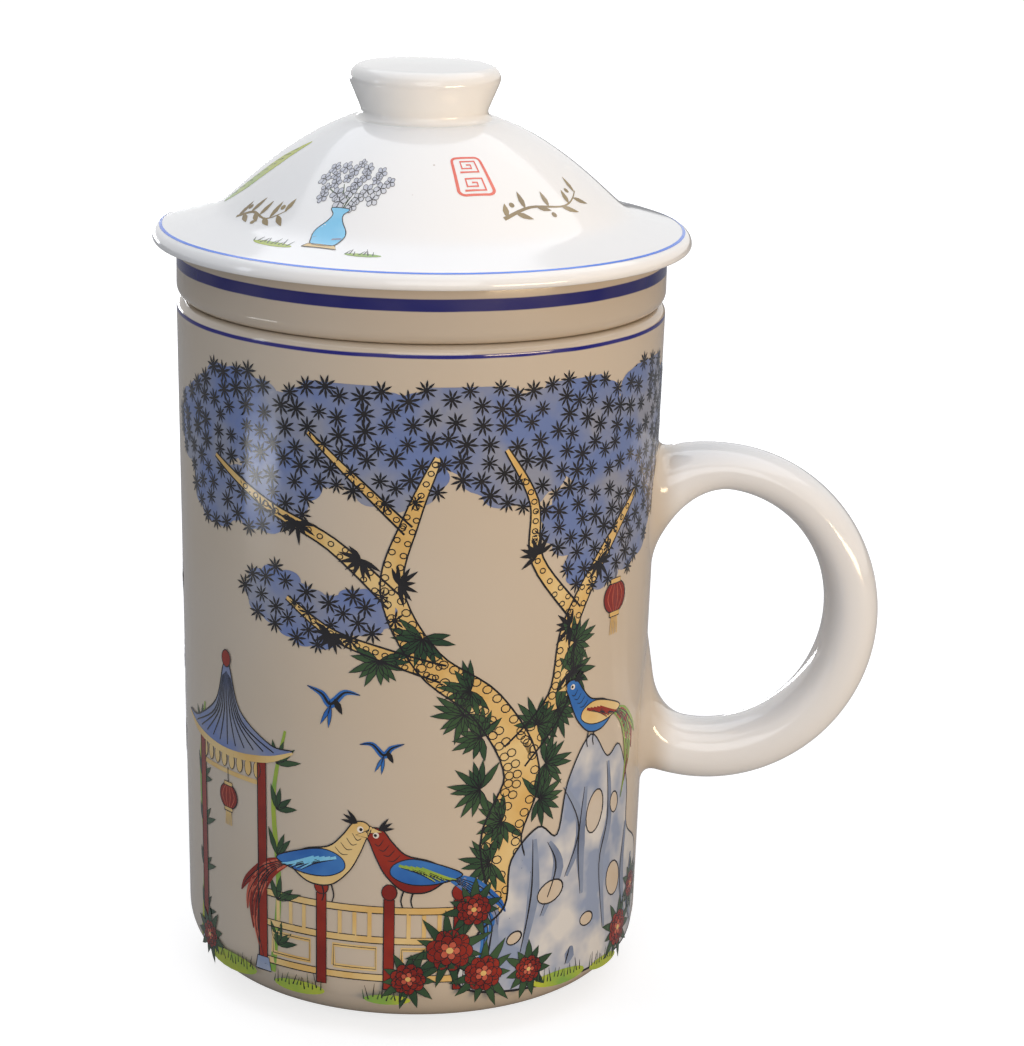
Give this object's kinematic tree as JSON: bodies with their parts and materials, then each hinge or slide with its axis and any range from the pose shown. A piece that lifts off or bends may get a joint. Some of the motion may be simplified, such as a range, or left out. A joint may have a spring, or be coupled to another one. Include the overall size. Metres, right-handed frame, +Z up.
{
  "type": "lidded tea mug with infuser",
  "caption": "Glazed porcelain tea mug with a ring handle, a lift-out strainer cup whose collar sits flush on the rim, and a loose domed lid with a knob.",
  "frame": {"origin": "centre of the foot ring, on the table plane", "axes": "+Z up along the mug's axis, +X towards the handle, +Y across the handle"},
  "size_m": [0.1244, 0.09, 0.1575],
  "materials": {
    "mug_glaze": "glossy clear glaze over painted porcelain",
    "handle_glaze": "glossy clear glaze over white porcelain",
    "infuser_glaze": "glossy clear glaze with a cobalt band",
    "lid_glaze": "glossy clear glaze over painted porcelain",
    "knob_glaze": "glossy clear glaze over white porcelain"
  },
  "bodies": {
    "mug": {"mug_body": "mug_glaze", "mug_handle": "handle_glaze"},
    "infuser": {"infuser": "infuser_glaze"},
    "lid": {"lid": "lid_glaze", "lid_knob": "knob_glaze"}
  },
  "joints": [
    {"name": "infuser_lift", "type": "slide", "parent": "mug", "child": "infuser", "axis": [0, 0, 1], "range_m": [0, 0.08]},
    {"name": "lid_lift", "type": "slide", "parent": "infuser", "child": "lid", "axis": [0, 0, 1], "range_m": [0, 0.06]}
  ]
}
